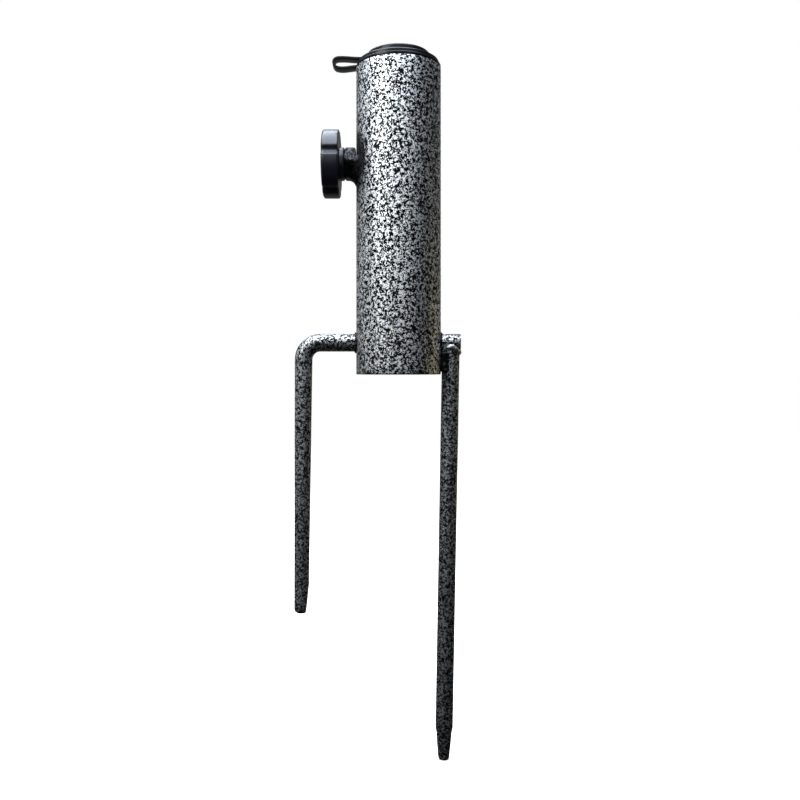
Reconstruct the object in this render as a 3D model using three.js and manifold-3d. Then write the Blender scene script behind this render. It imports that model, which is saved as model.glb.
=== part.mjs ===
// A ground-spike rod holder: a painted steel tube welded to two pointed legs of unequal
// length, with a clamp screw in its side and a cap on a tether. Millimetres, +Z up.
// The origin is the centre of the tube's bottom rim. Both legs stand in the XZ plane,
// and the clamp screw and the short leg are on the -X side.
import * as THREE from "three";
import { mergeVertices } from "three/addons/utils/BufferGeometryUtils.js";
import Module from "manifold-3d";

const wasm = await Module();
wasm.setup();

// ---- driving dimensions ----
const GAP = 0.3; // clearance between pieces that touch
const TUBE = { outer: 24, inner: 22, length: 173.3, chamfer: 0.4 };
const BAR = { radius: 5, height: 18, rightEnd: 35.2, bend: 9.5, bendCentreX: -44.3 };
const SHORT_LEG = { leanDeg: 0.5, length: 144.2, tipRadius: 4.15, cutLength: 17.7, cutDepth: 1.8 };
const LONG_LEG = { topX: 29.8, leanDeg: 1.02, tipZ: -218.4, blankTop: 15.5 };
const BAR_WELD_REACH = 1.7; // how far the fillets stand out from the tube
const CLAMP = { height: 119.5, hole: 5.5, boltRadius: 5 };
const NUT = { acrossFlats: 17, thickness: 6 };
const KNOB = { radius: 19.15, thickness: 9.4, lobes: 5, turnDeg: 7, bevel: 1.2 };
const HUB = { radius: 9.25, length: 2.8 };
const FLUTE = { radius: 2.4, centre: 20.05 };
const HEAD = { acrossFlats: 16, thickness: 6.1 };
const END_CAP = { radius: 13, thickness: 1.3, pocketDepth: 1.6 };
const PAD = { radius: 7, thickness: 5, backX: -10.5, socket: 3.5, socketDepth: 3.3 };
const COLLAR = { flange: 22.9, lip: 16, sleeveOuter: 21.7, sleeveInner: 19.4, sleeveDepth: 16 };
const CAP = { radius: 17.9, spigot: 15.6, wall: 1.8, height: 4.1, spigotDepth: 6 };
const TETHER = { thickness: 1.3, width: 5.5, ringInner: 22, ringOuter: 23.7, loopX: -34.4, loopRise: 5 };

const RIM = TUBE.length;
const NUT_FACE = -TUBE.outer - GAP - NUT.thickness; // outer face of the nut
const HUB_FACE = NUT_FACE - GAP;
const KNOB_FACE = HUB_FACE - HUB.length; // where the lobes begin, beside the hub
const KNOB_BACK = KNOB_FACE - KNOB.thickness; // outermost face
const COLLAR_TOP = RIM + 4;
const COLLAR_BASE = RIM + TETHER.thickness + 2 * GAP; // underside of the flange

// ---- materials ----
const paint = { color: 0x6f7472, roughness: 0.4, metalness: 0.6 };
const plastic = { color: 0x121317, roughness: 0.45, metalness: 0 };
const softPlastic = { color: 0x17181b, roughness: 0.6, metalness: 0 };
const zinc = { color: 0xa9adb0, roughness: 0.35, metalness: 1 };

// ---- joining and cutting ----
function toSolid(geometry) {
  const bare = geometry.clone();
  bare.deleteAttribute("normal");
  bare.deleteAttribute("uv");
  const merged = mergeVertices(bare, 1e-4);
  const triangles = [];
  for (let i = 0; i < merged.index.count; i += 3) {
    const [a, b, c] = [0, 1, 2].map((corner) => merged.index.getX(i + corner));
    if (a !== b && b !== c && c !== a) triangles.push(a, b, c);
  }
  const vertProperties = merged.attributes.position.array;
  const triVerts = Uint32Array.from(triangles);
  return new wasm.Manifold(new wasm.Mesh({ numProp: 3, vertProperties, triVerts }));
}

function toGeometry(solid) {
  const mesh = solid.getMesh();
  const geometry = new THREE.BufferGeometry();
  geometry.setAttribute("position", new THREE.BufferAttribute(mesh.vertProperties, 3));
  geometry.setIndex(new THREE.BufferAttribute(mesh.triVerts, 1));
  geometry.computeVertexNormals();
  return geometry;
}

// Joins the geometries of the first list, then takes away each one of the second.
function build(joined, removed = []) {
  const whole = joined.map(toSolid).reduce((sum, solid) => sum.add(solid));
  return toGeometry(removed.map(toSolid).reduce((rest, solid) => rest.subtract(solid), whole));
}

// ---- basic shapes ----
// A profile of [radius, height] points turned about Z. It rises along its outer side, and it
// starts and ends on the axis or closes on itself.
function turned(profile, sides = 48) {
  const points = profile.map(([radius, height]) => new THREE.Vector2(radius, height));
  return new THREE.LatheGeometry(points, sides).rotateX(Math.PI / 2);
}

// The same, turned about the clamp screw's axis, with heights measured along +X.
function turnedOnScrew(profile, sides = 48) {
  return turned(profile, sides).rotateY(Math.PI / 2).translate(0, 0, CLAMP.height);
}

function cylinderProfile(radius, low, high) {
  return [[0, low], [radius, low], [radius, high], [0, high]];
}

function ringProfile(inner, outer, low, high) {
  return [[outer, low], [outer, high], [inner, high], [inner, low], [outer, low]];
}

function barAlongX(radius, low, high, height = BAR.height, sides = 24) {
  return turned(cylinderProfile(radius, low, high), sides).rotateY(Math.PI / 2).translate(0, 0, height);
}

// A hexagonal prism on the clamp screw's axis, with flats at its top and bottom.
function hexOnScrew(acrossFlats, low, high) {
  const cornerRadius = acrossFlats / 2 / Math.cos(Math.PI / 6);
  const prism = turned(cylinderProfile(cornerRadius, low, high), 6);
  return prism.rotateY(Math.PI / 2).translate(0, 0, CLAMP.height);
}

class ArcInXZ extends THREE.Curve {
  constructor(x, z, radius, startDeg, endDeg) {
    super();
    Object.assign(this, { x, z, radius, startDeg, endDeg });
  }

  getPoint(t, target = new THREE.Vector3()) {
    const angle = THREE.MathUtils.degToRad(THREE.MathUtils.lerp(this.startDeg, this.endDeg, t));
    return target.set(this.x + this.radius * Math.cos(angle), 0, this.z + this.radius * Math.sin(angle));
  }
}

// ---- tube ----
function holderTube() {
  const { outer, inner, length, chamfer } = TUBE;
  const wall = turned([
    [outer - chamfer, 0], [outer, chamfer], [outer, length - chamfer], [outer - chamfer, length],
    [inner + chamfer, length], [inner, length - chamfer], [inner, chamfer], [inner + chamfer, 0],
    [outer - chamfer, 0],
  ], 72);
  const barHole = barAlongX(BAR.radius + GAP, -outer - 5, outer + 5);
  const clampHole = barAlongX(CLAMP.hole, -outer - 5, -outer + 10, CLAMP.height);
  return build([wall], [barHole, clampHole]);
}

const clearOfTube = () => turned(cylinderProfile(TUBE.outer + GAP, -40, RIM), 72);
const clearOfBar = () => barAlongX(BAR.radius + GAP, -50, 50);

// ---- legs ----
// Places a leg that hangs down -Z from its top at (x, z), leaning by an angle in the XZ plane.
function hangLeg(geometry, x, z, leanDeg) {
  return geometry.rotateY(THREE.MathUtils.degToRad(leanDeg)).translate(x, 0, z);
}

function shortLeg() {
  const { radius, height, rightEnd, bend, bendCentreX } = BAR;
  const { leanDeg, length, tipRadius, cutLength, cutDepth } = SHORT_LEG;
  const overlap = 0.2;
  const crossBar = barAlongX(radius, bendCentreX - overlap, rightEnd);
  const section = new THREE.Shape().absarc(0, 0, radius, 0, 2 * Math.PI);
  const path = new ArcInXZ(bendCentreX, height - bend, bend, 90, 180 - leanDeg);
  const elbow = new THREE.ExtrudeGeometry(section, { steps: 10, curveSegments: 12, extrudePath: path });
  const end = path.getPoint(1);
  const shaft = turned([
    [0, -length], [tipRadius - 1.1, 0.8 - length], [tipRadius, 3 - length], [radius, -4],
    [radius, overlap], [0, overlap],
  ], 24);
  // The one-sided point: a slanting cut on the side towards the long leg.
  const wedge = new THREE.Shape([
    new THREE.Vector2(tipRadius + 0.15, cutLength - length),
    new THREE.Vector2(tipRadius - cutDepth, -length),
    new THREE.Vector2(tipRadius - cutDepth, -length - 3),
    new THREE.Vector2(tipRadius + 6, -length - 3),
    new THREE.Vector2(tipRadius + 6, cutLength - length),
  ]);
  const cutter = new THREE.ExtrudeGeometry(wedge, { depth: 20, bevelEnabled: false })
    .rotateX(Math.PI / 2)
    .translate(0, 10, 0);
  return build(
    [crossBar, elbow, hangLeg(shaft, end.x, end.z, leanDeg)],
    [hangLeg(cutter, end.x, end.z, leanDeg)],
  );
}

// The long leg's axis passes through (topX, 0) at the cross bar's height.
function longLegBlank(radius, top) {
  const { topX, leanDeg, tipZ } = LONG_LEG;
  const length = BAR.height - tipZ;
  const profile = [
    [0, -length], [radius - 3, 0.3 - length], [radius - 2, 1.5 - length], [radius - 1.2, 8.3 - length],
    [radius - 0.7, 14.5 - length], [radius, 17.9 - length], [radius, top - BAR.height],
    [0, top - BAR.height],
  ];
  return hangLeg(turned(profile, 24), topX, BAR.height, leanDeg);
}

function longLeg() {
  return build([longLegBlank(BAR.radius, LONG_LEG.blankTop)], [clearOfBar()]);
}

// ---- weld beads ----
// A fillet round the cross bar on one side of the tube; side is -1 or +1.
function barWeld(side) {
  const reach = BAR_WELD_REACH;
  const seat = TUBE.outer - 2.5;
  const crest = TUBE.outer + GAP + reach;
  const bead = turned([
    [BAR.radius + GAP, seat], [BAR.radius + reach + 0.3, seat], [BAR.radius + reach, TUBE.outer - 0.2],
    [BAR.radius + reach / 2, crest - 0.4], [BAR.radius + GAP, crest], [BAR.radius + GAP, seat],
  ], 32).rotateY(side * Math.PI / 2).translate(0, 0, BAR.height);
  const removed = [clearOfTube()];
  if (side > 0) removed.push(longLegBlank(BAR.radius + GAP, LONG_LEG.blankTop + 3));
  return build([bead], removed);
}

// The fillet round the long leg's top, under the cross bar's square end.
function copedJointWeld() {
  const low = BAR.height - BAR.radius - 4;
  const bead = turned([
    [BAR.radius, low], [BAR.radius + 0.7, low], [BAR.radius + 1.3, low + 2.5],
    [BAR.radius + 1.3, BAR.height - 0.5], [BAR.radius, BAR.height - 0.5], [BAR.radius, low],
  ], 32).translate(LONG_LEG.topX, 0, 0);
  const clearOfBarWeld = barAlongX(12, 0, TUBE.outer + BAR_WELD_REACH + 2 * GAP);
  return build([bead], [clearOfBar(), clearOfBarWeld, longLegBlank(BAR.radius + GAP, BAR.height)]);
}

// A bead in the groove between the long leg and the tube; side is -1 at the front, +1 behind.
function legSeamWeld(side) {
  const radius = 2.3;
  const [low, high] = [0.8, BAR.height - BAR.radius - 4.6];
  const bead = turned([
    [0, low], [radius * 0.7, low + 0.4], [radius, low + 1.6], [radius, high - 1.6],
    [radius * 0.7, high - 0.4], [0, high],
  ], 16).translate(26, side * 4.7, 0);
  return build([bead], [clearOfTube(), longLegBlank(BAR.radius + GAP, BAR.height)]);
}

// The run of weld that holds the nut, thickest below it.
function nutWeld() {
  const sag = 4;
  const bead = turned([
    [0, -TUBE.outer - 5], [5.6, -TUBE.outer - 5], [6.9, -TUBE.outer - 3.4], [10.4, -TUBE.outer],
    [11, -TUBE.outer + 6], [0, -TUBE.outer + 6],
  ], 40).rotateY(Math.PI / 2).translate(0, 0, CLAMP.height - sag);
  return build([bead], [clearOfTube(), hexOnScrew(NUT.acrossFlats + 2 * GAP, -50, 0)]);
}

// ---- clamp ----
function clampNut() {
  const prism = hexOnScrew(NUT.acrossFlats, NUT_FACE, NUT_FACE + NUT.thickness);
  return build([prism], [turnedOnScrew(cylinderProfile(CLAMP.boltRadius + GAP, -50, 0), 24)]);
}

// The knob's outline: an arc for each lobe, and a hollow arc for the flute after it.
function knobOutline() {
  const { radius, lobes, turnDeg } = KNOB;
  const { radius: fluteRadius, centre } = FLUTE;
  const halfFlute = Math.acos((radius ** 2 + centre ** 2 - fluteRadius ** 2) / (2 * radius * centre));
  const fluteEdge = Math.atan2(radius * Math.sin(halfFlute), radius * Math.cos(halfFlute) - centre);
  const pitch = (2 * Math.PI) / lobes;
  const outline = new THREE.Shape();
  for (let lobe = 0; lobe < lobes; lobe += 1) {
    const middle = lobe * pitch + THREE.MathUtils.degToRad(turnDeg);
    const flute = middle + pitch / 2;
    outline.absarc(0, 0, radius, middle - pitch / 2 + halfFlute, flute - halfFlute, false);
    const [x, y] = [centre * Math.cos(flute), centre * Math.sin(flute)];
    outline.absarc(x, y, fluteRadius, flute - fluteEdge, flute + fluteEdge, true);
  }
  return outline;
}

function clampKnob() {
  const { thickness, bevel } = KNOB;
  const body = new THREE.ExtrudeGeometry(knobOutline(), {
    depth: thickness - 2 * bevel, curveSegments: 3, bevelThickness: bevel, bevelSize: bevel,
    bevelOffset: -bevel, bevelSegments: 2,
  }).translate(0, 0, KNOB_BACK + bevel).rotateY(Math.PI / 2).translate(0, 0, CLAMP.height);
  const hub = turnedOnScrew(cylinderProfile(HUB.radius, KNOB_FACE - 1, HUB_FACE), 32);
  const capPocket = cylinderProfile(END_CAP.radius + GAP, KNOB_BACK - 1, KNOB_BACK + END_CAP.pocketDepth);
  const headSeat = KNOB_BACK + END_CAP.pocketDepth + HEAD.thickness + GAP;
  return build([body, hub], [
    turnedOnScrew(capPocket, 40),
    hexOnScrew(HEAD.acrossFlats + 2 * GAP, KNOB_BACK, headSeat),
    turnedOnScrew(cylinderProfile(CLAMP.boltRadius + GAP, KNOB_BACK, 0), 24),
  ]);
}

function clampStud() {
  const headBack = KNOB_BACK + END_CAP.pocketDepth;
  const head = hexOnScrew(HEAD.acrossFlats, headBack, headBack + HEAD.thickness);
  const shoulder = PAD.backX - GAP;
  const shank = turnedOnScrew([
    [0, headBack + 1], [CLAMP.boltRadius, headBack + 1], [CLAMP.boltRadius, shoulder - 1],
    [CLAMP.boltRadius - 1, shoulder], [PAD.socket - GAP, shoulder],
    [PAD.socket - GAP, PAD.backX + PAD.socketDepth - GAP], [0, PAD.backX + PAD.socketDepth - GAP],
  ], 24);
  return build([head, shank]);
}

function knobEndCap() {
  const { radius, thickness } = END_CAP;
  const profile = [
    [0, KNOB_BACK], [radius - 0.6, KNOB_BACK], [radius, KNOB_BACK + 0.5], [radius, KNOB_BACK + thickness],
    [0, KNOB_BACK + thickness],
  ];
  return turnedOnScrew(profile, 40);
}

function pressurePad() {
  const { radius, thickness, backX, socket, socketDepth } = PAD;
  const front = backX + thickness;
  return turnedOnScrew([
    [0, backX + socketDepth], [socket, backX + socketDepth], [socket, backX], [radius - 0.8, backX],
    [radius, backX + 0.8], [radius, front - 1], [radius - 1, front], [0, front],
  ], 36);
}

// ---- mouth of the tube ----
function topCollar() {
  const { flange, lip, sleeveOuter, sleeveInner, sleeveDepth } = COLLAR;
  return turned([
    [sleeveOuter - 0.5, RIM - sleeveDepth], [sleeveOuter, RIM - sleeveDepth + 1],
    [sleeveOuter, COLLAR_BASE], [flange, COLLAR_BASE], [flange, COLLAR_TOP - 0.6],
    [flange - 0.6, COLLAR_TOP], [lip + 0.4, COLLAR_TOP],
    [lip, COLLAR_TOP - 0.4], [lip, COLLAR_BASE], [sleeveInner, COLLAR_BASE - 1.5],
    [sleeveInner, RIM - sleeveDepth], [sleeveOuter - 0.5, RIM - sleeveDepth],
  ], 56);
}

function capPlug() {
  const { radius, spigot, wall, height, spigotDepth } = CAP;
  const seat = COLLAR_TOP + GAP;
  const top = seat + height;
  const bottom = seat - spigotDepth;
  return turned([
    [0, top - wall], [spigot - wall, top - wall], [spigot - wall, bottom], [spigot - 0.5, bottom],
    [spigot, bottom + 1], [spigot, seat], [radius - 0.3, seat], [radius, seat + 0.3], [radius, top - 0.9],
    [radius - 0.3, top - 0.3], [radius - 1, top], [0, top],
  ], 56);
}

// A ring clamped between the rim and the collar's flange, with a strap that turns back to the cap.
function capTether() {
  const { thickness, width, ringInner, ringOuter, loopX, loopRise } = TETHER;
  const low = RIM + GAP;
  const ring = turned(ringProfile(ringInner, ringOuter, low, low + thickness), 56);
  const middle = low + thickness / 2;
  const route = [
    [-ringInner - 0.8, 0], [-26, -0.1], [-29, -0.3], [loopX + 2.5, -0.5], [loopX - 0.6, 0.1],
    [loopX - loopRise / 2 + 0.3, 1.3], [loopX - loopRise / 2, loopRise / 2 - 0.1],
    [loopX - loopRise / 2 + 0.3, loopRise - 1.4], [loopX - 0.6, loopRise - 0.3], [loopX + 2.5, loopRise],
    [-29, loopRise - 0.2], [-25, loopRise - 0.4], [-CAP.radius - GAP, loopRise - 0.4],
  ];
  const points = route.map(([x, rise]) => new THREE.Vector3(x, 0, middle + rise));
  const path = new THREE.CatmullRomCurve3(points);
  const [halfWide, halfThick] = [width / 2, thickness / 2]; // the section's x runs along Y
  const section = new THREE.Shape([
    new THREE.Vector2(-halfWide, -halfThick), new THREE.Vector2(halfWide, -halfThick),
    new THREE.Vector2(halfWide, halfThick), new THREE.Vector2(-halfWide, halfThick),
  ]);
  const strap = new THREE.ExtrudeGeometry(section, { steps: 36, extrudePath: path });
  return build([ring, strap]);
}

// ---- assembly ----
const holder = new THREE.Group();
const closure = new THREE.Group();
const clampScrew = new THREE.Group();

function addPiece(group, name, geometry, finish) {
  const piece = new THREE.Mesh(geometry, new THREE.MeshStandardMaterial(finish));
  piece.name = name;
  group.add(piece);
}

addPiece(holder, "holder_tube", holderTube(), paint);
addPiece(holder, "short_leg", shortLeg(), paint);
addPiece(holder, "long_leg", longLeg(), paint);
addPiece(holder, "left_bar_weld", barWeld(-1), paint);
addPiece(holder, "right_bar_weld", barWeld(1), paint);
addPiece(holder, "coped_joint_weld", copedJointWeld(), paint);
addPiece(holder, "leg_seam_weld_front", legSeamWeld(-1), paint);
addPiece(holder, "leg_seam_weld_back", legSeamWeld(1), paint);
addPiece(holder, "clamp_nut", clampNut(), paint);
addPiece(holder, "nut_weld", nutWeld(), paint);
addPiece(holder, "top_collar", topCollar(), softPlastic);

addPiece(closure, "cap_tether", capTether(), softPlastic);
addPiece(closure, "cap_plug", capPlug(), softPlastic);

addPiece(clampScrew, "clamp_knob", clampKnob(), plastic);
addPiece(clampScrew, "knob_end_cap", knobEndCap(), plastic);
addPiece(clampScrew, "clamp_stud", clampStud(), zinc);
addPiece(clampScrew, "pressure_pad", pressurePad(), plastic);

holder.add(closure, clampScrew);

export default holder;
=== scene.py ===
"""The looks of a ground-spike rod holder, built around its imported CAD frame. Metres, +Z up."""

import math

import bmesh
import bpy
from mathutils import Matrix, Vector, noise


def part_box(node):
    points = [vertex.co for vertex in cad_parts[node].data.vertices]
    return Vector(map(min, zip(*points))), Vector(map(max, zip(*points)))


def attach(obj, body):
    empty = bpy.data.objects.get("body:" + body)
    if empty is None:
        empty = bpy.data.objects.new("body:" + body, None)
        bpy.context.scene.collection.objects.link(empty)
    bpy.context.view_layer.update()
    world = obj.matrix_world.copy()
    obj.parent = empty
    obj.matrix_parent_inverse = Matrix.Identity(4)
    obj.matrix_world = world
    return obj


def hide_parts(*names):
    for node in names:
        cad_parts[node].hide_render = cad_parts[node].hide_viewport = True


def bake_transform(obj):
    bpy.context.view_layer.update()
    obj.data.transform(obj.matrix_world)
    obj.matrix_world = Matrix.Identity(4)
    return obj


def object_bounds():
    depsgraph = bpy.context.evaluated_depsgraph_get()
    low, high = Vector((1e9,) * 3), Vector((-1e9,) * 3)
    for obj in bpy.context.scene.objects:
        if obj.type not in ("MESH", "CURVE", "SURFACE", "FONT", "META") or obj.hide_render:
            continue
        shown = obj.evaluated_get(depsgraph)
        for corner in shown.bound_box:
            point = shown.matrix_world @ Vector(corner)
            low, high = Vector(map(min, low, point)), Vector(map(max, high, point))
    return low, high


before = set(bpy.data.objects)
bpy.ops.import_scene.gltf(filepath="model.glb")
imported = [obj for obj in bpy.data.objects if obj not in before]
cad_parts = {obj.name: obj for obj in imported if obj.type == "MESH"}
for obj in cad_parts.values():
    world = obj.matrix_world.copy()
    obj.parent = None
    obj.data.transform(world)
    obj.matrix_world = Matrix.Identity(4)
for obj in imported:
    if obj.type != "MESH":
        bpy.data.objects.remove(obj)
cad_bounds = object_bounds()

MM = 0.001


# ---------------------------------------------------------------- camera
CAMERA_DISTANCE = 474 * MM
CAMERA_HEIGHT = -2.7 * MM


def add_camera():
    data = bpy.data.cameras.new("camera")
    data.lens = 37.5
    data.shift_x = 0.0018
    data.shift_y = -0.026
    camera = bpy.data.objects.new("camera", data)
    camera.location = (0, -CAMERA_DISTANCE, CAMERA_HEIGHT)
    camera.rotation_euler = (math.radians(90), 0, 0)
    bpy.context.scene.collection.objects.link(camera)
    bpy.context.scene.camera = camera


# ---------------------------------------------------------------- sizes, from the frame
def corners(node):
    low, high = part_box(node)
    return Vector(low), Vector(high)


tube_high = corners("holder_tube")[1]
TUBE_R = tube_high.x
TUBE_WALL = 2 * MM
RIM = tube_high.z

short_low, short_high = corners("short_leg")
BAR_R = 5 * MM
BAR_Z = short_high.z - BAR_R
BEND_R = 9.5 * MM
SHORT_LEAN = math.radians(0.5)
SHORT_TIP_R = 4.15 * MM

long_low = corners("long_leg")[0]
LONG_LEAN = math.radians(1.02)
LONG_TOP_X = 29.8 * MM  # of the leg's axis, at the cross bar's height

stud_low, stud_high = corners("clamp_stud")
SCREW_Z = (stud_low.z + stud_high.z) / 2
HEAD_ACROSS_FLATS = stud_high.z - stud_low.z
nut_low, nut_high = corners("clamp_nut")
NUT_ACROSS_FLATS = nut_high.z - nut_low.z
knob_low, knob_high = corners("clamp_knob")
end_cap_low, end_cap_high = corners("knob_end_cap")
FIRST_FLUTE = math.radians(65)  # about the screw, from +Z towards +Y
pad_low, pad_high = corners("pressure_pad")
collar_low, collar_high = corners("top_collar")
cap_low, cap_high = corners("cap_plug")
tether_low = corners("cap_tether")[0]

SCREW_AXES = Matrix.Translation((0, 0, SCREW_Z)) @ Matrix.Rotation(math.pi / 2, 4, "Y")
BAR_AXES = Matrix.Translation((0, 0, BAR_Z)) @ Matrix.Rotation(math.pi / 2, 4, "Y")


# ---------------------------------------------------------------- node helpers
class Nodes:
    """A material's node tree, with short calls to add and join nodes."""

    def __init__(self, name):
        self.material = bpy.data.materials.new(name)
        self.material.use_nodes = True
        self.tree = self.material.node_tree
        self.shader = self.tree.nodes["Principled BSDF"]

    def add(self, kind, values=None, **settings):
        node = self.tree.nodes.new(kind)
        for key, value in settings.items():
            setattr(node, key, value)
        for key, value in (values or {}).items():
            if isinstance(value, bpy.types.NodeSocket):
                self.tree.links.new(value, node.inputs[key])
            else:
                node.inputs[key].default_value = value
        return node

    def place(self):
        return self.add("ShaderNodeTexCoord").outputs["Object"]

    def noise(self, vector, scale, detail=2.0, roughness=0.5):
        values = {"Vector": vector, "Scale": scale, "Detail": detail, "Roughness": roughness}
        return self.add("ShaderNodeTexNoise", values).outputs["Fac"]

    def math(self, operation, a, b=0.0, clamp=False):
        return self.add("ShaderNodeMath", {0: a, 1: b}, operation=operation, use_clamp=clamp).outputs[0]

    def ramp(self, value, low, high, to_low=0.0, to_high=1.0):
        """value from low..high, taken smoothly to to_low..to_high."""
        values = {"Value": value, "From Min": low, "From Max": high, "To Min": to_low, "To Max": to_high}
        return self.add("ShaderNodeMapRange", values, interpolation_type="SMOOTHSTEP").outputs[0]

    def mix(self, factor, a, b):
        node = self.add("ShaderNodeMix", {"Factor": factor}, data_type="RGBA")
        for socket, value in ((node.inputs[6], a), (node.inputs[7], b)):
            if isinstance(value, bpy.types.NodeSocket):
                self.tree.links.new(value, socket)
            else:
                socket.default_value = (*value, 1)
        return node.outputs[2]

    def bump(self, height, distance, strength=1.0, normal=None):
        values = {"Height": height, "Distance": distance, "Strength": strength}
        if normal is not None:
            values["Normal"] = normal
        return self.add("ShaderNodeBump", values).outputs["Normal"]

    def finish(self, **inputs):
        """Sets or links the shader's inputs; Base_Color stands for Base Color."""
        for key, value in inputs.items():
            socket = self.shader.inputs[key.replace("_", " ")]
            if isinstance(value, bpy.types.NodeSocket):
                self.tree.links.new(value, socket)
            else:
                socket.default_value = value
        return self.material


# ---------------------------------------------------------------- materials
def hammertone(name, cell, brightness, dark_patch=None, threshold=0.252):
    """Silver-vein enamel: winding metallic flecks, about a cell across, over glossy black.

    dark_patch is (centre, radius) of a round patch where the silver is painted darker. A lower threshold
    leaves more silver and less black.
    """
    n = Nodes(name)
    place = n.place()
    broad = n.math("MULTIPLY", n.noise(place, 0.42 / cell, 0.0), 0.55)
    worms = n.math("SUBTRACT", n.noise(place, 1 / cell, 1.0, 0.6), broad)
    fleck = n.ramp(worms, threshold, threshold + 0.02)
    tone = n.ramp(n.noise(place, 0.7 / cell, 2.0), 0.3, 0.7, 0.6 * brightness, brightness)
    # Painted darker: the silver dims towards the middle of a round patch with a ragged edge.
    if dark_patch:
        centre, radius = dark_patch
        away = n.add("ShaderNodeVectorMath", {0: place, 1: centre}, operation="DISTANCE").outputs["Value"]
        ragged = n.math("ADD", away, n.ramp(n.noise(place, 260.0, 2.0), 0.3, 0.7, -2 * MM, 2 * MM))
        tone = n.math("MULTIPLY", tone, n.ramp(ragged, 0.72 * radius, radius, 0.12, 1.0))
    cool = n.math("MULTIPLY", tone, n.ramp(n.noise(place, 0.45 / cell, 1.0), 0.35, 0.65, 0.98, 1.08))
    green = n.math("MULTIPLY", tone, 1.02)
    silver = n.add("ShaderNodeCombineColor", {0: tone, 1: green, 2: cool}).outputs[0]
    fine = n.noise(place, 2.6 / cell, 2.0)
    height = n.math("ADD", n.ramp(worms, 0.15, 0.32), n.math("MULTIPLY", fine, 0.3))
    return n.finish(
        Base_Color=n.mix(fleck, (0.002, 0.002, 0.0025), silver),
        Metallic=fleck,
        Roughness=n.ramp(fine, 0.3, 0.7, 0.42, 0.54),
        Specular_IOR_Level=0.05,
        Normal=n.bump(height, 0.1 * MM, 0.5),
    )


def moulded_plastic(name, colour, roughness, grain, gloss):
    """Black moulded plastic: satin skin with a fine grain and faint handling marks."""
    n = Nodes(name)
    place = n.place()
    skin = n.noise(place, 1 / grain, 3.0, 0.6)
    cloud = n.noise(place, 70.0, 4.0, 0.6)
    marks = n.ramp(cloud, 0.42, 0.66)
    lighter = tuple(1.6 * c for c in colour)
    return n.finish(
        Base_Color=n.mix(marks, colour, lighter),
        Roughness=n.ramp(cloud, 0.3, 0.7, roughness - 0.05, roughness + 0.07),
        Specular_IOR_Level=gloss,
        Normal=n.bump(skin, 0.02 * MM, 0.5),
    )


def zinc_plate(name):
    """Bright zinc on steel, with turning marks along the thread and a faint iridescent cloud."""
    n = Nodes(name)
    place = n.place()
    stretched = n.add("ShaderNodeMapping", {"Vector": place, "Scale": (1.0, 0.12, 0.12)}).outputs[0]
    streaks = n.noise(stretched, 9000.0, 2.0)
    cloud = n.noise(place, 260.0, 3.0)
    return n.finish(
        Base_Color=n.mix(n.ramp(cloud, 0.35, 0.65), (0.62, 0.64, 0.67), (0.72, 0.7, 0.62)),
        Metallic=1.0,
        Roughness=n.ramp(streaks, 0.3, 0.7, 0.24, 0.42),
        Normal=n.bump(streaks, 0.01 * MM, 0.4),
    )


def pale_floor(name):
    n = Nodes(name)
    cloud = n.noise(n.place(), 3.0, 2.0)
    return n.finish(
        Base_Color=n.mix(n.ramp(cloud, 0.3, 0.7), (0.93, 0.93, 0.93), (0.95, 0.95, 0.95)),
        Roughness=0.9,
        Specular_IOR_Level=0.1,
    )


# ---------------------------------------------------------------- outlines
def rounded(outline, closed=False, step_deg=15):
    """The points of an outline of (a, b, radius) corners, with an arc at each corner."""
    points = []
    count = len(outline)
    for i, (a, b, radius) in enumerate(outline):
        here = Vector((a, b))
        ends = i in (0, count - 1) and not closed
        if ends or radius == 0:
            points.append(here)
            continue
        before = (Vector(outline[i - 1][:2]) - here).normalized()
        after = (Vector(outline[(i + 1) % count][:2]) - here).normalized()
        half = before.angle(after) / 2
        centre = here + (before + after).normalized() * radius / math.sin(half)
        start = here + before * radius / math.tan(half) - centre
        finish = here + after * radius / math.tan(half) - centre
        steps = max(2, math.ceil(math.degrees(math.pi - 2 * half) / step_deg))
        points += [centre + start.lerp(finish, k / steps).normalized() * radius for k in range(steps + 1)]
    return [tuple(p) for p in points]


def fill_in(profile, longest):
    """The profile with points added along its long stretches."""
    points = [profile[0]]
    for start, end in zip(profile, profile[1:]):
        gap = math.dist(start, end)
        steps = max(1, math.ceil(gap / longest))
        points += [
            tuple(s + (e - s) * k / steps for s, e in zip(start, end)) for k in range(1, steps + 1)
        ]
    return points


# ---------------------------------------------------------------- meshes
def skin(rings, closed=False):
    """A mesh through rings of points. A ring of one point is a pole; flat ends are filled."""
    bm = bmesh.new()
    rows = [[bm.verts.new(p) for p in ring] for ring in rings]
    pairs = list(zip(rows, rows[1:]))
    if closed:
        pairs.append((rows[-1], rows[0]))
    for one, two in pairs:
        count = max(len(one), len(two))
        for k in range(count):
            follow = (k + 1) % count
            quad = [one[k % len(one)], one[follow % len(one)], two[follow % len(two)], two[k % len(two)]]
            corners_used = list(dict.fromkeys(quad))
            if len(corners_used) > 2:
                bm.faces.new(corners_used)
    if not closed:
        for row in (rows[0], rows[-1]):
            if len(row) > 2:
                bm.faces.new(row)
    return bm


def turned_rings(profile, sides, axes=Matrix()):
    """Rings of a profile of (radius, height) turned about the local Z of axes."""
    rings = []
    for radius, height in profile:
        if radius < 1e-7:
            rings.append([axes @ Vector((0, 0, height))])
            continue
        angles = [2 * math.pi * k / sides for k in range(sides)]
        rings.append([axes @ Vector((radius * math.cos(a), radius * math.sin(a), height)) for a in angles])
    return rings


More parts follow.
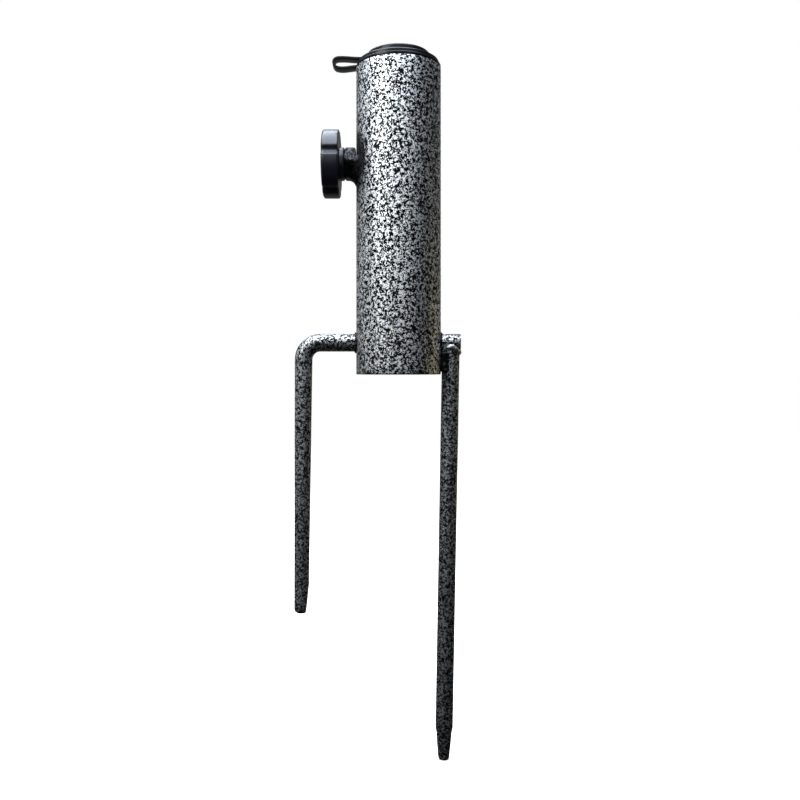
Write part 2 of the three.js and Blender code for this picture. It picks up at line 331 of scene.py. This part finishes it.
def swept_rings(path, radii, sides):
    """Rings of a round bar along a path in the XZ plane."""
    across = Vector((0, 1, 0))
    rings = []
    for i, (point, radius) in enumerate(zip(path, radii)):
        tangent = (path[min(i + 1, len(path) - 1)] - path[max(i - 1, 0)]).normalized()
        side = tangent.cross(across)
        if radius < 1e-7:
            rings.append([point])
            continue
        angles = [2 * math.pi * k / sides for k in range(sides)]
        rings.append([point + radius * (math.cos(a) * across + math.sin(a) * side) for a in angles])
    return rings


def add_piece(name, bm, material, sharp_deg=40):
    bmesh.ops.remove_doubles(bm, verts=bm.verts, dist=1e-7)
    bmesh.ops.recalc_face_normals(bm, faces=bm.faces)
    mesh = bpy.data.meshes.new(name)
    bm.to_mesh(mesh)
    bm.free()
    mesh.materials.append(material)
    mesh.shade_smooth()
    mesh.set_sharp_from_angle(angle=math.radians(sharp_deg))
    piece = bpy.data.objects.new(name, mesh)
    bpy.context.scene.collection.objects.link(piece)
    return piece


def apply_modifiers(piece):
    """Turns the piece's modifiers into mesh."""
    depsgraph = bpy.context.evaluated_depsgraph_get()
    mesh = bpy.data.meshes.new_from_object(piece.evaluated_get(depsgraph))
    piece.modifiers.clear()
    piece.data = mesh


def combine(piece, other_bm, operation, sharp_deg=40):
    """Cuts piece with, or joins it to, the solid in other_bm."""
    tool = add_piece("tool", other_bm, piece.data.materials[0])
    modifier = piece.modifiers.new("combine", "BOOLEAN")
    modifier.operation = operation
    modifier.solver = "EXACT"
    modifier.object = tool
    bpy.context.view_layer.update()
    apply_modifiers(piece)
    bpy.data.objects.remove(tool)
    piece.data.shade_smooth()
    piece.data.set_sharp_from_angle(angle=math.radians(sharp_deg))


def cylinder_bm(radius, low, high, axes, sides=48):
    return skin(turned_rings([(radius, low), (radius, high)], sides, axes))


def belongs(piece, body, slot, *nodes):
    """The piece rides on a body and stands for CAD nodes, which it hides. slot is not used."""
    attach(piece, body)
    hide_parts(*nodes)


# ---------------------------------------------------------------- tube
def make_tube(paint):
    inner = TUBE_R - TUBE_WALL
    edge = 0.45 * MM
    bar_clear, screw_clear = BAR_R + 0.2 * MM, 5.5 * MM
    section = rounded([
        (TUBE_R, 0, edge), (TUBE_R, RIM, edge), (inner, RIM, edge), (inner, 0, edge),
    ], closed=True, step_deg=30)
    section = fill_in(section, 4 * MM)
    tube = add_piece("tube", skin(turned_rings(section, 160), closed=True), paint)
    combine(tube, cylinder_bm(bar_clear, -2 * TUBE_R, 2 * TUBE_R, BAR_AXES), "DIFFERENCE")
    combine(tube, cylinder_bm(screw_clear, -2 * TUBE_R, 0, SCREW_AXES), "DIFFERENCE")
    belongs(tube, "holder", "hammertone_paint", "holder_tube")


# ---------------------------------------------------------------- legs
def leg_direction(lean):
    return Vector((-math.sin(lean), 0, -math.cos(lean)))


def make_short_leg(paint):
    """The cross bar, its bend and the tapering leg, in one bar with a one-sided point."""
    bend_x = short_low.x + BAR_R + BEND_R + 0.2 * MM
    path, radii = [], []

    def reach(point, radius):
        path.append(Vector(point))
        radii.append(radius)

    for back, radius in ((0, BAR_R - 0.4 * MM), (0.12, BAR_R - 0.12 * MM), (0.4, BAR_R)):
        reach((short_high.x - back * MM, 0, BAR_Z), radius)
    straight = short_high.x - bend_x
    for k in range(1, 24):
        reach((short_high.x - straight * k / 24, 0, BAR_Z), BAR_R)
    for k in range(19):
        angle = math.pi / 2 + (math.pi / 2 - SHORT_LEAN) * k / 18
        reach((bend_x + BEND_R * math.cos(angle), 0, BAR_Z - BEND_R + BEND_R * math.sin(angle)), BAR_R)
    top = path[-1]
    down = leg_direction(SHORT_LEAN)
    length = (top.z - short_low.z) / math.cos(SHORT_LEAN)
    tip_depth = 2.6 * MM
    for k in range(1, 61):
        along = k / 60
        reach(top + down * (length - tip_depth) * along, BAR_R + (SHORT_TIP_R - BAR_R) * along ** 0.85)
    for angle in (22, 45, 65, 80, 90):
        turn = math.radians(angle)
        rest = length - tip_depth * (1 - math.sin(turn))
        reach(top + down * rest, SHORT_TIP_R * math.cos(turn) ** 0.55 if angle < 90 else 0)

    leg = add_piece("short_leg_bar", skin(swept_rings(path, radii, 56)), paint)
    across = Vector((math.cos(SHORT_LEAN), 0, -math.sin(SHORT_LEAN)))
    end = top + down * length
    corner = [(4.3, -17.7), (2.35, 1), (9, 1), (9, -17.7)]
    wedge = [[end + across * a * MM + down * b * MM + Vector((0, y, 0)) for a, b in corner]
             for y in (-9 * MM, 9 * MM)]
    combine(leg, skin(wedge), "DIFFERENCE")
    belongs(leg, "holder", "hammertone_paint", "short_leg")


def make_long_leg(paint):
    """The straight leg: coped to the cross bar at its top, ground to a point below."""
    top = Vector((LONG_TOP_X, 0, BAR_Z))
    down = leg_direction(LONG_LEAN)
    length = (BAR_Z - long_low.z) / math.cos(LONG_LEAN)
    profile = rounded([
        (0, length, 0), (3.05 * MM, length, 1.3 * MM), (3.9 * MM, length - 8.3 * MM, 6 * MM),
        (4.4 * MM, length - 15 * MM, 1.5 * MM), (BAR_R, length - 18 * MM, 2 * MM),
        (BAR_R, 2.2 * MM, 0), (0, 2.2 * MM, 0),
    ], step_deg=6)
    profile = fill_in(profile, 4 * MM)
    tilt = down.to_track_quat("Z", "Y").to_matrix().to_4x4()
    leg = add_piece("long_leg_bar", skin(turned_rings(profile, 56, Matrix.Translation(top) @ tilt)), paint)
    combine(leg, cylinder_bm(BAR_R + 0.1 * MM, 0, 2 * TUBE_R, BAR_AXES), "DIFFERENCE")
    belongs(leg, "holder", "hammertone_paint", "long_leg")


# ---------------------------------------------------------------- weld beads
def lumpy(point, size, seed):
    """A small repeatable unevenness, of about size, for a weld's surface."""
    return size * noise.noise(point / (2.2 * MM) + Vector((seed, seed, seed)))


def ring_bead(name, centre_at, out_at, radius, ripples, seed, paint):
    """A closed bead. centre_at(angle) is its middle line and out_at(angle) its two section axes."""
    rings = []
    steps, sides = 120, 20
    for k in range(steps):
        angle = 2 * math.pi * k / steps
        centre = centre_at(angle)
        first, second = out_at(angle)
        crest = 1 + 0.07 * abs(math.sin(ripples * angle / 2))
        ring = []
        for s in range(sides):
            turn = 2 * math.pi * s / sides
            point = centre + radius * crest * (math.cos(turn) * first + math.sin(turn) * second)
            ring.append(point + (point - centre).normalized() * lumpy(point, 0.35 * MM, seed))
        rings.append(ring)
    bead = add_piece(name, skin(rings, closed=True), paint, sharp_deg=80)
    return bead


def make_bar_weld(side, paint):
    """The bead where the cross bar goes through the tube; side is -1 or +1."""
    reach = BAR_R

    def centre_at(angle):
        y = reach * math.cos(angle)
        x = math.sqrt((TUBE_R + 0.1 * MM) ** 2 - y * y)
        return Vector((side * x, y, BAR_Z + reach * math.sin(angle)))

    def out_at(angle):
        return Vector((0, math.cos(angle), math.sin(angle))), Vector((side, 0, 0))

    name = "left_bar_weld" if side < 0 else "right_bar_weld"
    bead = ring_bead(name + "_bead", centre_at, out_at, 0.9 * MM, 14, 3.0 + side, paint)
    belongs(bead, "holder", "hammertone_paint", name)


def make_coped_weld(paint):
    """The bead that follows the cope between the cross bar and the long leg's top."""
    reach = BAR_R + 0.1 * MM

    def centre_at(angle):
        y = reach * math.sin(angle)
        drop = math.sqrt((BAR_R + 0.6 * MM) ** 2 - y * y)
        x = LONG_TOP_X + 4.3 * MM * math.cos(angle)
        return Vector((x, y, BAR_Z - drop))

    def out_at(angle):
        return Vector((math.cos(angle), math.sin(angle), 0)), Vector((0, 0, 1))

    bead = ring_bead("coped_joint_bead", centre_at, out_at, 1.45 * MM, 12, 8.0, paint)
    belongs(bead, "holder", "hammertone_paint", "coped_joint_weld")


def make_seam_weld(side, paint):
    """A run down the groove between the long leg and the tube; side is -1 in front, +1 behind."""
    name = "leg_seam_weld_front" if side < 0 else "leg_seam_weld_back"
    low, high = corners(name)
    groove_x, groove_y = 26 * MM, side * 4.3 * MM
    top_z = high.z + 5 * MM
    rings = [[Vector((groove_x, groove_y, low.z))]]
    steps, sides = 40, 18
    for k in range(1, steps):
        along = k / steps
        z = low.z + (top_z - low.z) * along
        swell = min(1, 3.2 * math.sin(math.pi * along)) * (2.5 + 0.16 * abs(math.sin(14 * along))) * MM
        centre = Vector((groove_x, side * (4.1 + 0.2 * math.sin(9 * along)) * MM, z))
        ring = []
        for s in range(sides):
            turn = 2 * math.pi * s / sides
            point = centre + swell * Vector((math.cos(turn), math.sin(turn), 0))
            ring.append(point + (point - centre).normalized() * lumpy(point, 0.35 * MM, 5.0 + side))
        rings.append(ring)
    rings.append([Vector((groove_x, groove_y, top_z))])
    bead = add_piece(name + "_bead", skin(rings), paint, sharp_deg=80)
    belongs(bead, "holder", "hammertone_paint", name)


def make_nut_weld(paint):
    """The heavy run under the nut, hollow on its face and fading out at the nut's sides."""
    half_flat = NUT_ACROSS_FLATS / 2
    rings = []
    steps, curve = 72, 10
    for k in range(steps + 1):
        along = k / steps
        angle = math.radians(-205 + 230 * along)  # about the screw, from +Y towards +Z
        fade = math.sin(math.pi * along) ** 0.6
        within = (math.degrees(angle) + 90 + 30) % 60 - 30
        nut_radius = half_flat / math.cos(math.radians(within)) - 0.4 * MM
        spread = nut_radius + (0.5 + 6.1 * fade * (1 + 0.05 * math.sin(31 * angle))) * MM
        rise = (0.4 + 5.2 * fade) * MM
        y_far = spread * math.cos(angle)
        seat = -math.sqrt(TUBE_R ** 2 - min(y_far ** 2, TUBE_R ** 2)) + 0.4 * MM
        nut_seat = -math.sqrt(TUBE_R ** 2 - (nut_radius * math.cos(angle)) ** 2) + 0.6 * MM
        start = Vector((nut_seat - rise - 0.4 * MM, nut_radius))
        hollow = Vector((nut_seat - 1.0 * MM, nut_radius + 1.3 * MM * fade))
        end = Vector((seat, spread))
        ring = []
        for c in range(curve + 1):
            t = c / curve
            x, radius = start * (1 - t) ** 2 + hollow * 2 * t * (1 - t) + end * t * t
            point = Vector((x, radius * math.cos(angle), SCREW_Z + radius * math.sin(angle)))
            bulge = lumpy(point, 0.45 * MM, 1.0) * math.sin(math.pi * t)
            ring.append(point + Vector((-bulge, 0, 0)))
        inner = nut_radius - 0.8 * MM
        inner_z = SCREW_Z + inner * math.sin(angle)
        ring.append(Vector((nut_seat + 0.6 * MM, inner * math.cos(angle), inner_z)))
        rings.append(ring)
    bead = add_piece("nut_weld_run", skin(rings), paint, sharp_deg=70)
    belongs(bead, "holder", "hammertone_paint", "nut_weld")


# ---------------------------------------------------------------- clamp nut, screw and pad
def hex_outline(across_flats, limit, x, sides=96):
    """A hexagon about the screw's axis at x, its corners turned down to the radius limit."""
    points = []
    for s in range(sides):
        angle = 2 * math.pi * s / sides
        within = (angle + math.pi / 6) % (math.pi / 3) - math.pi / 6
        radius = min(across_flats / 2 / math.cos(within), limit)
        points.append(SCREW_AXES @ Vector((radius * math.cos(angle), radius * math.sin(angle), x)))
    return points


def hex_rings(across_flats, low, high):
    """Rings of a hexagon bar with chamfered ends."""
    flat = across_flats / 2 - 0.1 * MM
    corner = across_flats / 2 / math.cos(math.pi / 6) - 0.2 * MM
    slope = (corner - flat) * math.tan(math.radians(30))
    ends = [(flat + (corner - flat) * k / 5, slope * k / 5) for k in range(6)]
    rings = [hex_outline(across_flats, limit, low + rise) for limit, rise in ends]
    return rings + [hex_outline(across_flats, limit, high - rise) for limit, rise in reversed(ends)]


def make_nut(paint):
    rings = hex_rings(NUT_ACROSS_FLATS, nut_low.x, nut_high.x)
    bore = [(5 * MM, nut_high.x), (5 * MM, nut_low.x + 0.8 * MM), (5.9 * MM, nut_low.x)]
    rings += turned_rings(bore, 96, SCREW_AXES)
    nut = add_piece("weld_nut", skin(rings, closed=True), paint, sharp_deg=25)
    belongs(nut, "holder", "hammertone_paint", "clamp_nut")


def knob_radius(angle):
    """The knob's outline: five broad lobes parted by shallow round flutes."""
    lobe = (knob_high.y - knob_low.y) / 2
    flute_r, flute_centre = 2.4 * MM, lobe + 0.9 * MM
    pitch = 2 * math.pi / 5
    from_flute = (angle - FIRST_FLUTE + pitch / 2) % pitch - pitch / 2
    off = flute_centre * math.sin(from_flute)
    if abs(off) >= flute_r:
        return lobe
    return min(lobe, flute_centre * math.cos(from_flute) - math.sqrt(flute_r ** 2 - off ** 2))


def smooth_outline(count, half_window):
    """The knob's outline at count even angles, with its corners eased."""
    raw = [knob_radius(2 * math.pi * k / count) for k in range(count)]
    weights = [math.cos(math.pi / 2 * w / (half_window + 1)) for w in range(-half_window, half_window + 1)]
    return [
        sum(w * raw[(k + i - half_window) % count] for i, w in enumerate(weights)) / sum(weights)
        for k in range(count)
    ]


def make_knob(plastic):
    count = 300
    outline = smooth_outline(count, 2)
    hub_r = 9.25 * MM
    back, face = knob_low.x, knob_high.x - 2.8 * MM
    edge = 1.5 * MM
    rim_x = []
    for angle in range(0, 91, 15):
        turn = math.radians(angle)
        rim_x.append((back + edge * (1 - math.sin(turn)), edge * (1 - math.cos(turn))))
    inner_ease = 0.6  # of the outer edge's rounding

    def lobed(x, inset):
        return [outline_point(k, outline[k] - inset, x) for k in range(count)]

    def outline_point(k, radius, x):
        angle = 2 * math.pi * k / count
        return Vector((x, radius * math.sin(angle), SCREW_Z + radius * math.cos(angle)))

    def plain(x, radius):
        return [outline_point(k, radius, x) for k in range(count)]

    pocket = (end_cap_high.y - end_cap_low.y) / 2 + 0.15 * MM
    floor_x = end_cap_high.x + 0.1 * MM
    rings = [plain(floor_x, 5 * MM), plain(floor_x, pocket), plain(back + 0.25 * MM, pocket)]
    rings += [plain(back, pocket + 0.25 * MM), plain(back, pocket + 0.9 * MM)]
    rings += [lobed(x, inset) for x, inset in reversed(rim_x)]
    rings += [lobed(x, 0) for x in (back + 3 * MM, (back + face) / 2, face - 2.5 * MM)]
    rings += [lobed(face - (x - back) * inner_ease, inset * inner_ease) for x, inset in rim_x]
    rings += [plain(face - 0.3 * MM, hub_r + 4 * MM), plain(face - 0.3 * MM, hub_r + 0.8 * MM)]
    rings += [plain(face + 0.2 * MM, hub_r), plain(knob_high.x - 0.5 * MM, hub_r)]
    rings += [plain(knob_high.x, hub_r - 0.5 * MM), plain(knob_high.x, 5.4 * MM)]
    rings += [plain(knob_high.x - MM, 5 * MM)]
    knob = add_piece("star_knob", skin(rings, closed=True), plastic, sharp_deg=50)
    belongs(knob, "clamp_screw", "black_plastic", "clamp_knob")


def make_end_cap(plastic):
    radius = (end_cap_high.y - end_cap_low.y) / 2
    profile = rounded([
        (0, end_cap_high.x, 0), (radius, end_cap_high.x, 0), (radius, end_cap_low.x, 0.4 * MM),
        (radius - 2.2 * MM, end_cap_low.x, 0.3 * MM),
        (radius - 2.8 * MM, end_cap_low.x + 0.35 * MM, 0.3 * MM),
        (0, end_cap_low.x + 0.2 * MM, 0),
    ])
    cap = add_piece("knob_cover_disc", skin(turned_rings(profile, 96, SCREW_AXES)), plastic)
    belongs(cap, "clamp_screw", "black_plastic", "knob_end_cap")


def make_stud(zinc):
    """The screw: hexagon head, cut thread and a turned pilot that carries the pad."""
    pitch = 1.5 * MM
    major, minor = 4.95 * MM, 4.1 * MM
    head_end = stud_low.x + 6.1 * MM
    thread_end = pad_low.x - 0.3 * MM
    sides, per_pitch = 40, 10
    rings = [[Vector((head_end - MM, 0, SCREW_Z))]]
    turns = (thread_end - head_end) / pitch
    rows = int(turns * per_pitch)
    for row in range(rows + 1):
        x = head_end + (thread_end - head_end) * row / rows
        fade = min(1, (rows - row) / per_pitch, row / per_pitch)
        ring = []
        for s in range(sides):
            phase = ((x - head_end) / pitch + s / sides) % 1
            crest = min(1, max(0, 1.35 * (1 - abs(2 * phase - 1)) - 0.1))
            radius = minor + (major - minor) * crest * fade
            angle = 2 * math.pi * s / sides
            ring.append(Vector((x, radius * math.cos(angle), SCREW_Z + radius * math.sin(angle))))
        rings.append(ring)
    pilot = rounded([
        (3.1 * MM, thread_end, 0), (3.1 * MM, stud_high.x, 0.5 * MM), (0, stud_high.x, 0),
    ])
    rings += turned_rings(pilot, sides, SCREW_AXES)
    stud = add_piece("screw_thread", skin(rings), zinc, sharp_deg=35)
    belongs(stud, "clamp_screw", "zinc_steel", "clamp_stud")
    head_rings = hex_rings(HEAD_ACROSS_FLATS, stud_low.x, head_end)
    head = add_piece("screw_head", skin(head_rings), zinc, sharp_deg=25)
    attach(head, "clamp_screw")


def make_pad(plastic):
    radius = (pad_high.y - pad_low.y) / 2
    back, front = pad_low.x, pad_high.x
    profile = rounded([
        (0, back + 3.3 * MM, 0), (3.5 * MM, back + 3.3 * MM, 0.3 * MM), (3.5 * MM, back, 0.5 * MM),
        (radius - 1.5 * MM, back, 0.6 * MM), (radius, back + 1.5 * MM, 0.8 * MM),
        (radius, front, 1 * MM), (4.4 * MM, front, 0.2 * MM), (4 * MM, front - 0.5 * MM, 0.2 * MM),
        (0, front - 0.5 * MM, 0),
    ])
    pad = add_piece("swivel_pad", skin(turned_rings(profile, 72, SCREW_AXES)), plastic)
    belongs(pad, "pressure_pad", "black_plastic", "pressure_pad")


# ---------------------------------------------------------------- mouth of the tube
def make_collar(soft):
    flange = collar_high.x
    sleeve_out, sleeve_in, lip = 21.7 * MM, 19.4 * MM, 16 * MM
    base = RIM + 1.9 * MM
    top = collar_high.z
    profile = rounded([
        (sleeve_out - 0.6 * MM, collar_low.z, 0.3 * MM), (sleeve_out, collar_low.z + 1.2 * MM, 0.6 * MM),
        (sleeve_out, base, 0.2 * MM), (flange, base, 0.35 * MM), (flange, top, 0.7 * MM),
        (lip, top, 0.5 * MM), (lip, base, 0.4 * MM), (sleeve_in, base - 1.5 * MM, 1.2 * MM),
        (sleeve_in, collar_low.z, 0.4 * MM),
    ], closed=True)
    collar = add_piece("mouth_collar", skin(turned_rings(profile, 144), closed=True), soft)
    belongs(collar, "holder", "soft_black_plastic", "top_collar")


def make_cap(soft):
    crown = cap_high.x
    spigot, wall = 15.6 * MM, 1.8 * MM
    seat = collar_high.z + 0.3 * MM
    top, bottom = cap_high.z, cap_low.z
    inside = spigot - wall
    profile = rounded([
        (0, top - wall, 0), (inside, top - wall, 1 * MM), (inside, bottom, 0.5 * MM),
        (spigot - 0.5 * MM, bottom, 0.6 * MM), (spigot + 0.1 * MM, bottom + 1.3 * MM, 0.8 * MM),
        (spigot - 0.2 * MM, bottom + 3 * MM, 1.5 * MM), (spigot - 0.2 * MM, seat, 0.3 * MM),
        (crown, seat, 0.4 * MM), (crown, top, 1.1 * MM), (crown - 3.4 * MM, top, 0.5 * MM),
        (crown - 3.9 * MM, top - 0.45 * MM, 0.5 * MM), (0, top - 0.2 * MM, 0),
    ])
    cap = add_piece("mouth_cap", skin(turned_rings(profile, 144)), soft)
    belongs(cap, "cap", "soft_black_plastic", "cap_plug")


def make_tether(soft):
    """The clamped ring and the strap that turns back on itself up to the cap."""
    thick, width = 1.5 * MM, 6.8 * MM
    low = RIM + 0.3 * MM
    ring_profile = rounded([
        (22 * MM, low, 0.25 * MM), (23.95 * MM, low, 0.3 * MM), (23.95 * MM, low + thick, 0.45 * MM),
        (22 * MM, low + thick, 0.25 * MM),
    ], closed=True)
    middle = low + thick / 2
    left = tether_low.x + thick / 2
    rise = 4.9 * MM
    rest_of_cap = -cap_high.x + 0.6 * MM
    control = [
        (-22.6 * MM, 0), (-26 * MM, -0.4 * MM), (-29 * MM, -0.8 * MM), (left + 4.6 * MM, -1.0 * MM),
        (left + 1.7 * MM, -0.5 * MM), (left + 0.35 * MM, 0.8 * MM), (left, rise / 2),
        (left + 0.35 * MM, rise - 1.3 * MM), (left + 1.7 * MM, rise - 0.25 * MM), (left + 4.6 * MM, rise),
        (-29 * MM, rise - 0.1 * MM), (-25 * MM, rise - 0.4 * MM), (-21 * MM, rise - 0.5 * MM),
        (rest_of_cap, rise - 0.4 * MM),
    ]
    points = [Vector((x, 0, middle + z)) for x, z in control]
    path = []
    for i in range(len(points) - 1):
        before, here = points[max(i - 1, 0)], points[i]
        there, after = points[i + 1], points[min(i + 2, len(points) - 1)]
        for k in range(8):
            t = k / 8
            path.append(0.5 * (
                2 * here + (there - before) * t + (2 * before - 5 * here + 4 * there - after) * t * t
                + (3 * here - before - 3 * there + after) * t ** 3
            ))
    path.append(points[-1])
    section = rounded([
        (-width / 2, -thick / 2, 0.35 * MM), (width / 2, -thick / 2, 0.35 * MM),
        (width / 2, thick / 2, 0.35 * MM), (-width / 2, thick / 2, 0.35 * MM),
    ], closed=True, step_deg=30)
    rings = []
    for i, point in enumerate(path):
        tangent = (path[min(i + 1, len(path) - 1)] - path[max(i - 1, 0)]).normalized()
        normal = tangent.cross(Vector((0, 1, 0)))
        rings.append([point + Vector((0, a, 0)) + normal * b for a, b in section])
    tether = add_piece("cap_strap", skin(rings), soft, sharp_deg=60)
    combine(tether, skin(turned_rings(ring_profile, 144), closed=True), "UNION", sharp_deg=60)
    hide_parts("cap_tether")
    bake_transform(tether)


# ---------------------------------------------------------------- stage
def place_light(data, place, target):
    light = bpy.data.objects.new(data.name, data)
    light.location = place
    light.rotation_euler = (Vector(target) - Vector(place)).to_track_quat("-Z", "Y").to_euler()
    bpy.context.scene.collection.objects.link(light)
    return light


def softbox(name, place, target, size, power, colour=(1, 1, 1)):
    data = bpy.data.lights.new(name, "AREA")
    data.shape = "RECTANGLE"
    data.size, data.size_y = size
    data.energy = power
    data.color = colour
    light = place_light(data, place, target)
    light.visible_camera = False
    return light


def make_floor():
    """A sheet of pale paper under the tips, with a soft light of its own from above.

    It throws neither light nor a reflection on the object.
    """
    bm = bmesh.new()
    bmesh.ops.create_grid(bm, x_segments=8, y_segments=8, size=2.2)
    bmesh.ops.translate(bm, verts=bm.verts, vec=(0, 0, cad_bounds[0][2] - 0.2 * MM))
    floor = add_piece("floor", bm, pale_floor("floor_paper"))
    floor.visible_diffuse = False
    floor.visible_glossy = False
    lit = bpy.data.collections.new("lit_by_floor_light")
    lit.objects.link(floor)
    data = bpy.data.lights.new("floor_light", "SUN")
    data.energy = 3.35
    data.angle = math.radians(50)
    lamp = place_light(data, (0, 0, 2), (0, 0, 0))
    lamp.light_linking.receiver_collection = lit


def make_world():
    """Plain white to the camera. The light it throws is dim in front and brighter from behind."""
    world = bpy.data.worlds.new("studio")
    bpy.context.scene.world = world
    world.use_nodes = True
    tree = world.node_tree

    def add(kind, **values):
        node = tree.nodes.new(kind)
        for key, value in values.items():
            node.inputs[key.replace("_", " ")].default_value = value
        return node

    toward = add("ShaderNodeTexCoord")
    split = add("ShaderNodeSeparateXYZ")
    behind = add("ShaderNodeMapRange", From_Min=0.35, From_Max=0.95, To_Min=0.02, To_Max=0.3)
    behind.interpolation_type = "SMOOTHSTEP"
    studio, backdrop = tree.nodes["Background"], add("ShaderNodeBackground", Color=(1, 1, 1, 1))
    studio.inputs["Color"].default_value = (0.97, 0.985, 1, 1)
    rays, chosen = add("ShaderNodeLightPath"), add("ShaderNodeMixShader")
    links = (
        (toward.outputs["Generated"], split.inputs[0]),
        (split.outputs["Y"], behind.inputs["Value"]),
        (behind.outputs[0], studio.inputs["Strength"]),
        (rays.outputs["Is Camera Ray"], chosen.inputs["Fac"]),
        (studio.outputs[0], chosen.inputs[1]),
        (backdrop.outputs[0], chosen.inputs[2]),
        (chosen.outputs[0], tree.nodes["World Output"].inputs["Surface"]),
    )
    for output, socket in links:
        tree.links.new(output, socket)


def make_stage():
    make_floor()
    make_world()
    softbox("key", (-0.44, -0.42, 0.38), (0, 0, 0.12), (0.3, 0.24), 2.7, (0.97, 0.99, 1))
    softbox("front", (0.08, -0.85, 0.42), (0, 0, 0.1), (0.8, 0.4), 1.4, (0.97, 0.99, 1))
    softbox("overhead", (-0.1, -0.05, 0.75), (0, 0, 0.1), (1.0, 0.8), 26.0, (0.8, 0.88, 1))
    softbox("left_edge", (-0.8, 0.12, 0.2), (0, 0, 0.05), (0.25, 0.6), 0.6)
    softbox("warm_side", (0.56, 0.2, -0.02), (0, 0, 0.03), (0.03, 0.25), 0.12, (1, 0.8, 0.4))
    bpy.context.scene.view_settings.view_transform = "Standard"


# ---------------------------------------------------------------- assembly
add_camera()
make_stage()

# The tube's silver is painted darker in a round patch about the nut.
nut_dark_patch = ((-TUBE_R, 0, SCREW_Z), 21 * MM)
tube_paint = hammertone("hammertone_tube", 0.7 * MM, 1.0, nut_dark_patch)
# Painted shade: the legs take a darker copy of the tube's enamel, for the dimmer light low down.
shaded_leg_paint = hammertone("hammertone_legs_shaded", 0.56 * MM, 0.62)
# Painted highlight: the coped bead takes a mostly silver copy of the enamel, for the lit arch along its
# top.
highlight_bead_paint = hammertone("hammertone_bead_highlight", 0.65 * MM, 1.0, threshold=0.16)
# Painted shade: the welds and the nut take a near-black copy of the enamel, for the shade in the joints
# and on the nut.
shaded_weld_paint = hammertone("hammertone_welds_shaded", 0.65 * MM, 0.055)
# The blue in the knob's black is a painted sheen: it copies the cool tint of the light on the knob's top.
knob_plastic = moulded_plastic("knob_plastic", (0.006, 0.0065, 0.011), 0.36, 0.4 * MM, 0.38)
soft_plastic = moulded_plastic("soft_plastic", (0.005, 0.0055, 0.007), 0.3, 0.7 * MM, 0.16)
pad_plastic = moulded_plastic("pad_plastic", (0.02, 0.02, 0.021), 0.5, 0.5 * MM, 0.4)
zinc_steel = zinc_plate("zinc_plate")

make_tube(tube_paint)
make_short_leg(shaded_leg_paint)
make_long_leg(shaded_leg_paint)
for weld_side in (-1, 1):
    make_bar_weld(weld_side, shaded_weld_paint)
    make_seam_weld(weld_side, shaded_weld_paint)
make_coped_weld(highlight_bead_paint)
make_nut_weld(shaded_weld_paint)
make_nut(shaded_weld_paint)
make_knob(knob_plastic)
make_end_cap(knob_plastic)
make_stud(zinc_steel)
make_pad(pad_plastic)
make_collar(soft_plastic)
make_cap(soft_plastic)
make_tether(soft_plastic)
